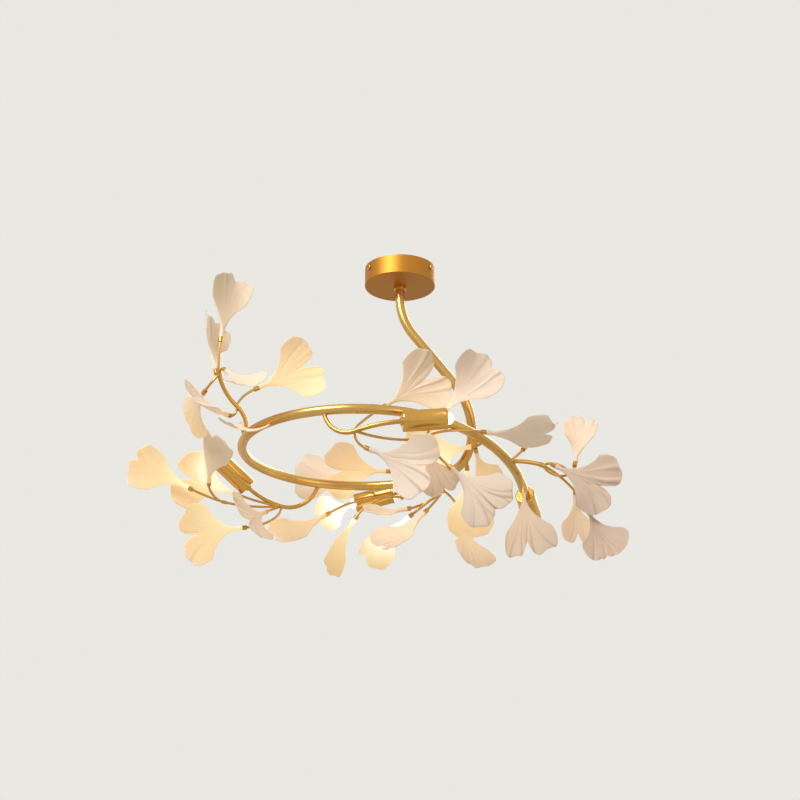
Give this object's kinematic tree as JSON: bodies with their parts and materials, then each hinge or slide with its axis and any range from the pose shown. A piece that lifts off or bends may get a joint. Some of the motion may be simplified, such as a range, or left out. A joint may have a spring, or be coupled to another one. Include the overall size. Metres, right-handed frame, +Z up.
{
  "type": "ceiling light",
  "caption": "Ceiling light: a bent brass tube spiral hung from a round canopy, carrying brass sprays of porcelain ginkgo leaves and small capsule lamps.",
  "frame": {"origin": "on the ceiling, at the middle of the ceiling plate, on the axis of the canopy", "axes": "+Z up into the ceiling, +X to the right and +Y away from the viewer of the picture"},
  "size_m": [0.6953, 0.4219, 0.4367],
  "materials": {
    "satin_brass": "satin brushed",
    "zinc_steel": "zinc plated",
    "terminal_plastic": "moulded",
    "wire_sleeve": "extruded",
    "holder_ceramic": "unglazed",
    "lamp_glass": "frosted, lit",
    "leaf_porcelain": "thin matt porcelain, lets light through"
  },
  "bodies": {
    "ceiling_mount": {"ceiling_plate": "zinc_steel", "canopy": "satin_brass", "canopy_screws": "satin_brass", "terminal_block": "terminal_plastic", "supply_leads": "wire_sleeve"},
    "spiral": {"stem_nipple": "satin_brass", "nipple_nut": "satin_brass", "stem_collar": "satin_brass", "spiral_tube": "satin_brass", "tube_wiring": "wire_sleeve", "upper_left_frame": "satin_brass", "lower_left_frame": "satin_brass", "front_frame": "satin_brass", "back_frame": "satin_brass", "centre_frame": "satin_brass", "tail_frame": "satin_brass", "socket_cups": "satin_brass", "lampholders": "holder_ceramic", "lamp_leads": "wire_sleeve"},
    "lower_left_bulb": {"lower_left_bulb": "lamp_glass"},
    "front_bulb": {"front_bulb": "lamp_glass"},
    "back_bulb": {"back_bulb": "lamp_glass"},
    "centre_bulb": {"centre_bulb": "lamp_glass"},
    "tail_bulb": {"tail_bulb": "lamp_glass"},
    "upper_left_leaf_1": {"upper_left_leaf_1": "leaf_porcelain"},
    "upper_left_leaf_2": {"upper_left_leaf_2": "leaf_porcelain"},
    "upper_left_leaf_3": {"upper_left_leaf_3": "leaf_porcelain"},
    "upper_left_leaf_4": {"upper_left_leaf_4": "leaf_porcelain"},
    "upper_left_leaf_5": {"upper_left_leaf_5": "leaf_porcelain"},
    "upper_left_leaf_6": {"upper_left_leaf_6": "leaf_porcelain"},
    "upper_left_leaf_7": {"upper_left_leaf_7": "leaf_porcelain"},
    "lower_left_leaf_1": {"lower_left_leaf_1": "leaf_porcelain"},
    "lower_left_leaf_2": {"lower_left_leaf_2": "leaf_porcelain"},
    "lower_left_leaf_3": {"lower_left_leaf_3": "leaf_porcelain"},
    "lower_left_leaf_4": {"lower_left_leaf_4": "leaf_porcelain"},
    "lower_left_leaf_5": {"lower_left_leaf_5": "leaf_porcelain"},
    "front_leaf_1": {"front_leaf_1": "leaf_porcelain"},
    "front_leaf_2": {"front_leaf_2": "leaf_porcelain"},
    "front_leaf_3": {"front_leaf_3": "leaf_porcelain"},
    "front_leaf_4": {"front_leaf_4": "leaf_porcelain"},
    "front_leaf_5": {"front_leaf_5": "leaf_porcelain"},
    "front_leaf_6": {"front_leaf_6": "leaf_porcelain"},
    "back_leaf_1": {"back_leaf_1": "leaf_porcelain"},
    "back_leaf_2": {"back_leaf_2": "leaf_porcelain"},
    "back_leaf_3": {"back_leaf_3": "leaf_porcelain"},
    "back_leaf_4": {"back_leaf_4": "leaf_porcelain"},
    "back_leaf_5": {"back_leaf_5": "leaf_porcelain"},
    "centre_leaf_1": {"centre_leaf_1": "leaf_porcelain"},
    "centre_leaf_2": {"centre_leaf_2": "leaf_porcelain"},
    "centre_leaf_3": {"centre_leaf_3": "leaf_porcelain"},
    "centre_leaf_4": {"centre_leaf_4": "leaf_porcelain"},
    "tail_leaf_1": {"tail_leaf_1": "leaf_porcelain"},
    "tail_leaf_2": {"tail_leaf_2": "leaf_porcelain"},
    "tail_leaf_3": {"tail_leaf_3": "leaf_porcelain"},
    "tail_leaf_4": {"tail_leaf_4": "leaf_porcelain"},
    "tail_leaf_5": {"tail_leaf_5": "leaf_porcelain"},
    "tail_leaf_6": {"tail_leaf_6": "leaf_porcelain"},
    "tail_leaf_7": {"tail_leaf_7": "leaf_porcelain"},
    "tail_leaf_8": {"tail_leaf_8": "leaf_porcelain"},
    "tail_leaf_9": {"tail_leaf_9": "leaf_porcelain"}
  },
  "joints": [
    {"name": "spiral_turn", "type": "hinge", "parent": "ceiling_mount", "child": "spiral", "pos_m": [0, 0, -0.028], "axis": [0, 0, 1], "range_deg": [-170, 170]},
    {"name": "lower_left_bulb_pull", "type": "slide", "parent": "spiral", "child": "lower_left_bulb", "axis": [-0.722, -0.3094, 0.6189], "range_m": [0, 0.012]},
    {"name": "front_bulb_pull", "type": "slide", "parent": "spiral", "child": "front_bulb", "axis": [0.9901, 0.099, 0.099], "range_m": [0, 0.012]},
    {"name": "back_bulb_pull", "type": "slide", "parent": "spiral", "child": "back_bulb", "axis": [-0.9623, 0.1925, -0.1925], "range_m": [0, 0.012]},
    {"name": "centre_bulb_pull", "type": "slide", "parent": "spiral", "child": "centre_bulb", "axis": [-0.1961, -0.5883, -0.7845], "range_m": [0, 0.012]},
    {"name": "tail_bulb_pull", "type": "slide", "parent": "spiral", "child": "tail_bulb", "axis": [0.2224, 0.9341, -0.2795], "range_m": [0, 0.012]},
    {"name": "upper_left_leaf_1_turn", "type": "hinge", "parent": "spiral", "child": "upper_left_leaf_1", "pos_m": [-0.2428, -0.0801, -0.14], "axis": [0.0995, 0, 0.995], "range_deg": [-25, 25]},
    {"name": "upper_left_leaf_2_turn", "type": "hinge", "parent": "spiral", "child": "upper_left_leaf_2", "pos_m": [-0.2508, -0.0581, -0.179], "axis": [-0.2063, 0.3094, 0.9283], "range_deg": [-25, 25]},
    {"name": "upper_left_leaf_3_turn", "type": "hinge", "parent": "spiral", "child": "upper_left_leaf_3", "pos_m": [-0.2318, -0.0961, -0.196], "axis": [0.5077, -0.6092, -0.6092], "range_deg": [-25, 25]},
    {"name": "upper_left_leaf_4_turn", "type": "hinge", "parent": "spiral", "child": "upper_left_leaf_4", "pos_m": [-0.2658, -0.0601, -0.214], "axis": [-0.4364, 0.8729, -0.2182], "range_deg": [-25, 25]},
    {"name": "upper_left_leaf_5_turn", "type": "hinge", "parent": "spiral", "child": "upper_left_leaf_5", "pos_m": [-0.2318, -0.0661, -0.247], "axis": [-0.527, -0.8433, -0.1054], "range_deg": [-5, 25]},
    {"name": "upper_left_leaf_6_turn", "type": "hinge", "parent": "spiral", "child": "upper_left_leaf_6", "pos_m": [-0.2128, -0.0701, -0.264], "axis": [0.0967, -0.8701, -0.4834], "range_deg": [-25, 25]},
    {"name": "upper_left_leaf_7_turn", "type": "hinge", "parent": "spiral", "child": "upper_left_leaf_7", "pos_m": [-0.1928, -0.0401, -0.198], "axis": [0.8581, 0.1907, 0.4767], "range_deg": [-25, 25]},
    {"name": "lower_left_leaf_1_turn", "type": "hinge", "parent": "spiral", "child": "lower_left_leaf_1", "pos_m": [-0.30152, 0.10028, -0.296], "axis": [-0.8955, -0.199, 0.398], "range_deg": [-25, 25]},
    {"name": "lower_left_leaf_2_turn", "type": "hinge", "parent": "spiral", "child": "lower_left_leaf_2", "pos_m": [-0.27252, 0.10028, -0.287], "axis": [0.101, -0.9091, 0.4041], "range_deg": [-25, 25]},
    {"name": "lower_left_leaf_3_turn", "type": "hinge", "parent": "spiral", "child": "lower_left_leaf_3", "pos_m": [-0.23652, 0.12828, -0.296], "axis": [-0.9283, -0.2063, 0.3094], "range_deg": [-25, 5]},
    {"name": "lower_left_leaf_4_turn", "type": "hinge", "parent": "spiral", "child": "lower_left_leaf_4", "pos_m": [-0.19352, 0.11628, -0.328], "axis": [-0.318, -0.848, -0.424], "range_deg": [-25, 25]},
    {"name": "lower_left_leaf_5_turn", "type": "hinge", "parent": "spiral", "child": "lower_left_leaf_5", "pos_m": [-0.22252, 0.09228, -0.358], "axis": [-0.9283, -0.3094, -0.2063], "range_deg": [-25, 25]},
    {"name": "front_leaf_1_turn", "type": "hinge", "parent": "spiral", "child": "front_leaf_1", "pos_m": [-0.01841, -0.11955, -0.254], "axis": [0.7845, 0.1961, 0.5883], "range_deg": [-25, 25]},
    {"name": "front_leaf_2_turn", "type": "hinge", "parent": "spiral", "child": "front_leaf_2", "pos_m": [-0.03841, -0.15955, -0.329], "axis": [0.9091, -0.101, -0.4041], "range_deg": [-25, 25]},
    {"name": "front_leaf_3_turn", "type": "hinge", "parent": "spiral", "child": "front_leaf_3", "pos_m": [0.03059, -0.13755, -0.32], "axis": [0.398, 0.199, -0.8955], "range_deg": [-25, 10]},
    {"name": "front_leaf_4_turn", "type": "hinge", "parent": "spiral", "child": "front_leaf_4", "pos_m": [0.05659, -0.14955, -0.274], "axis": [0.7035, -0.1005, 0.7035], "range_deg": [-25, 25]},
    {"name": "front_leaf_5_turn", "type": "hinge", "parent": "spiral", "child": "front_leaf_5", "pos_m": [0.06659, -0.14955, -0.352], "axis": [0.6931, -0.198, -0.6931], "range_deg": [-25, 25]},
    {"name": "front_leaf_6_turn", "type": "hinge", "parent": "spiral", "child": "front_leaf_6", "pos_m": [0.11359, -0.09555, -0.283], "axis": [0.9901, 0.099, -0.099], "range_deg": [-25, 25]},
    {"name": "back_leaf_1_turn", "type": "hinge", "parent": "spiral", "child": "back_leaf_1", "pos_m": [-0.02086, 0.18181, -0.244], "axis": [-0.995, -0.0995, 0], "range_deg": [-25, 10]},
    {"name": "back_leaf_2_turn", "type": "hinge", "parent": "spiral", "child": "back_leaf_2", "pos_m": [-0.07086, 0.19581, -0.262], "axis": [-0.9806, 0, 0.1961], "range_deg": [-25, 25]},
    {"name": "back_leaf_3_turn", "type": "hinge", "parent": "spiral", "child": "back_leaf_3", "pos_m": [-0.06486, 0.16781, -0.299], "axis": [-0.8742, -0.2914, -0.3885], "range_deg": [-25, 25]},
    {"name": "back_leaf_4_turn", "type": "hinge", "parent": "spiral", "child": "back_leaf_4", "pos_m": [-0.10586, 0.11581, -0.332], "axis": [-0.7663, -0.2873, -0.5747], "range_deg": [-25, 25]},
    {"name": "back_leaf_5_turn", "type": "hinge", "parent": "spiral", "child": "back_leaf_5", "pos_m": [-0.06586, 0.15781, -0.326], "axis": [-0.527, -0.1054, -0.8433], "range_deg": [-25, 25]},
    {"name": "centre_leaf_1_turn", "type": "hinge", "parent": "spiral", "child": "centre_leaf_1", "pos_m": [0.08815, 0.09609, -0.347], "axis": [0.101, -0.4041, -0.9091], "range_deg": [-25, 25]},
    {"name": "centre_leaf_2_turn", "type": "hinge", "parent": "spiral", "child": "centre_leaf_2", "pos_m": [0.00915, 0.12209, -0.321], "axis": [-0.848, -0.424, -0.318], "range_deg": [-25, 25]},
    {"name": "centre_leaf_3_turn", "type": "hinge", "parent": "spiral", "child": "centre_leaf_3", "pos_m": [0.01315, 0.13409, -0.329], "axis": [-0.7845, 0.1961, -0.5883], "range_deg": [-25, 25]},
    {"name": "centre_leaf_4_turn", "type": "hinge", "parent": "spiral", "child": "centre_leaf_4", "pos_m": [0.03415, 0.09209, -0.336], "axis": [-0.636, -0.212, -0.742], "range_deg": [-25, 25]},
    {"name": "tail_leaf_1_turn", "type": "hinge", "parent": "spiral", "child": "tail_leaf_1", "pos_m": [0.09514, -0.05641, -0.28929], "axis": [-0.9806, 0, -0.1961], "range_deg": [-25, 25]},
    {"name": "tail_leaf_2_turn", "type": "hinge", "parent": "spiral", "child": "tail_leaf_2", "pos_m": [0.10214, -0.04741, -0.29329], "axis": [0.2074, 0.8296, -0.5185], "range_deg": [-25, 9]},
    {"name": "tail_leaf_3_turn", "type": "hinge", "parent": "spiral", "child": "tail_leaf_3", "pos_m": [0.09114, -0.01241, -0.30828], "axis": [0, 0.4061, -0.9138], "range_deg": [-25, 15]},
    {"name": "tail_leaf_4_turn", "type": "hinge", "parent": "spiral", "child": "tail_leaf_4", "pos_m": [0.17214, 0.00259, -0.26928], "axis": [0.5025, 0.5025, 0.7035], "range_deg": [-25, 25]},
    {"name": "tail_leaf_5_turn", "type": "hinge", "parent": "spiral", "child": "tail_leaf_5", "pos_m": [0.21414, 0.00959, -0.29429], "axis": [0.8701, -0.0967, -0.4834], "range_deg": [-25, 15]},
    {"name": "tail_leaf_6_turn", "type": "hinge", "parent": "spiral", "child": "tail_leaf_6", "pos_m": [0.24314, 0.02859, -0.28229], "axis": [0.2063, 0.3094, 0.9283], "range_deg": [-25, 25]},
    {"name": "tail_leaf_7_turn", "type": "hinge", "parent": "spiral", "child": "tail_leaf_7", "pos_m": [0.25814, 0.02259, -0.35629], "axis": [0.2914, -0.3885, -0.8742], "range_deg": [-25, 25]},
    {"name": "tail_leaf_8_turn", "type": "hinge", "parent": "spiral", "child": "tail_leaf_8", "pos_m": [0.24314, 0.04359, -0.32428], "axis": [0, 0.4061, -0.9138], "range_deg": [-25, 25]},
    {"name": "tail_leaf_9_turn", "type": "hinge", "parent": "spiral", "child": "tail_leaf_9", "pos_m": [0.16914, 0.01259, -0.33228], "axis": [0, -0.1961, -0.9806], "range_deg": [-25, 25]}
  ]
}
